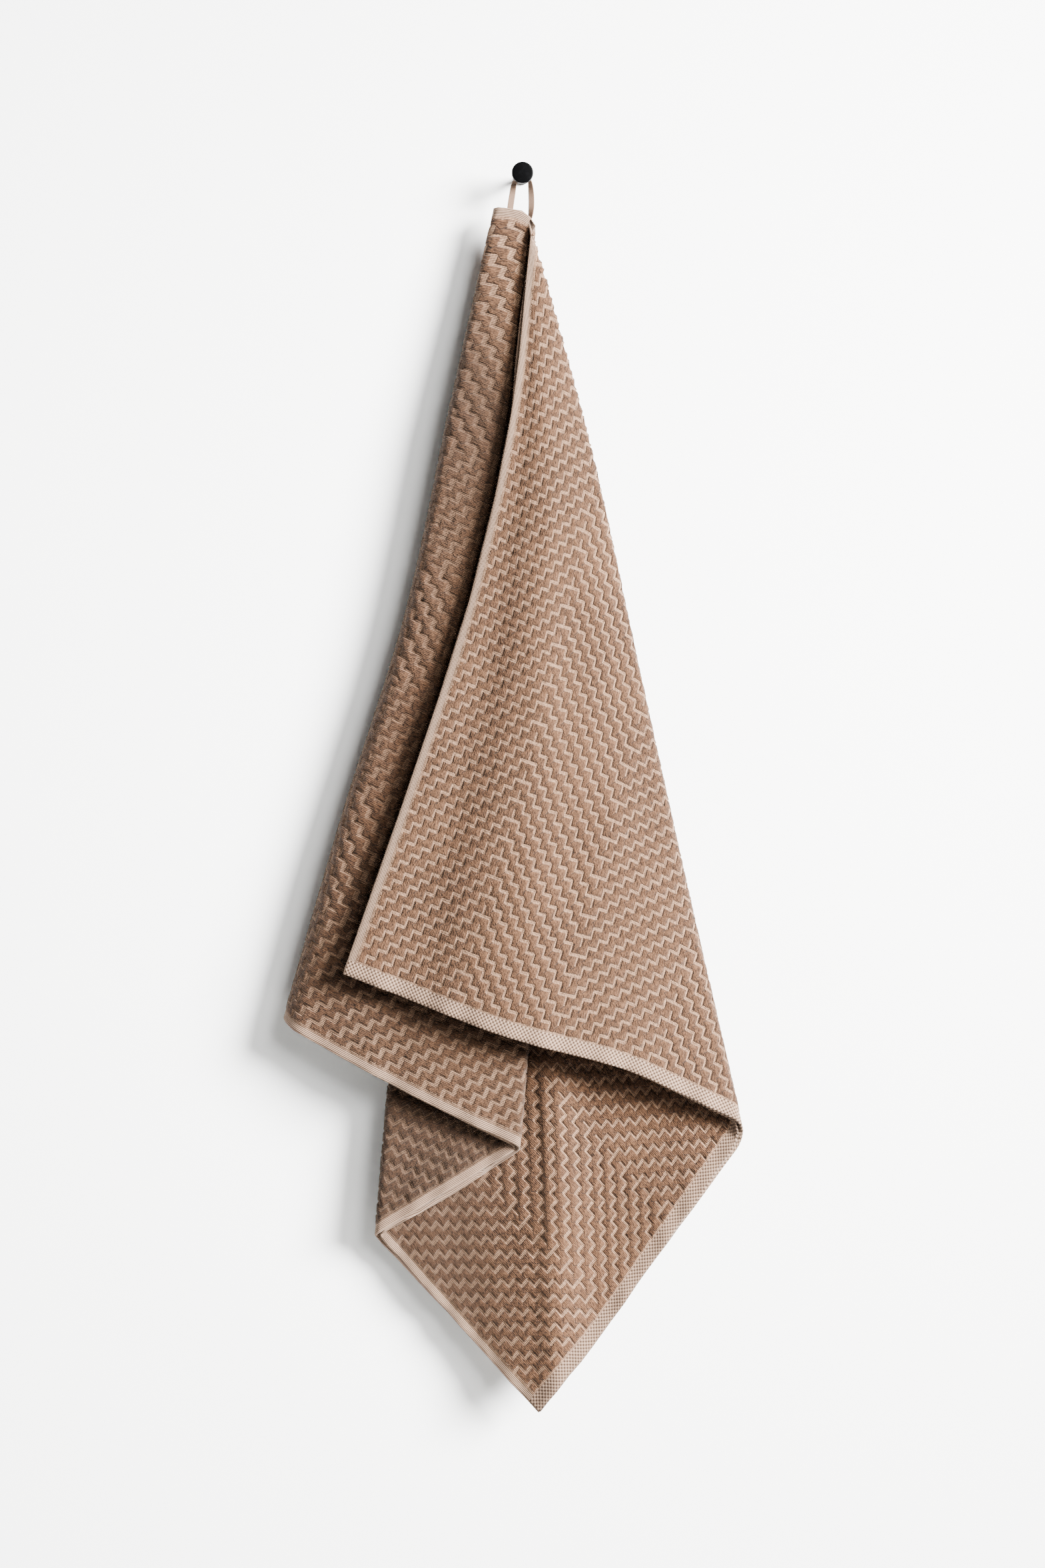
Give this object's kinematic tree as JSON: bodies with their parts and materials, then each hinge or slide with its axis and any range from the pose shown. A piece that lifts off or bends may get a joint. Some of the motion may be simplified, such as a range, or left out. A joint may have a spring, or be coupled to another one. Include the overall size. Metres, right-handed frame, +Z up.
{
  "type": "towel on a wall hook",
  "caption": "Bath towel with a stepped zigzag relief, laid double and hanging in back-and-forth folds by its tape loop from a round wall hook.",
  "frame": {"origin": "centre of the hook's flat wall face, on the axis of the hook", "axes": "+Z up, -Y out of the wall towards the viewer, +X to the viewer's right"},
  "size_m": [0.409, 0.0964, 1.1025],
  "materials": {
    "velour": "matt cut pile in raised bands on a ribbed ground",
    "tape": "matt woven tape",
    "black_metal": "matt black paint"
  },
  "bodies": {
    "root": {"towel": "velour", "hanging_loop": "tape", "wall_hook": "black_metal"}
  },
  "joints": []
}
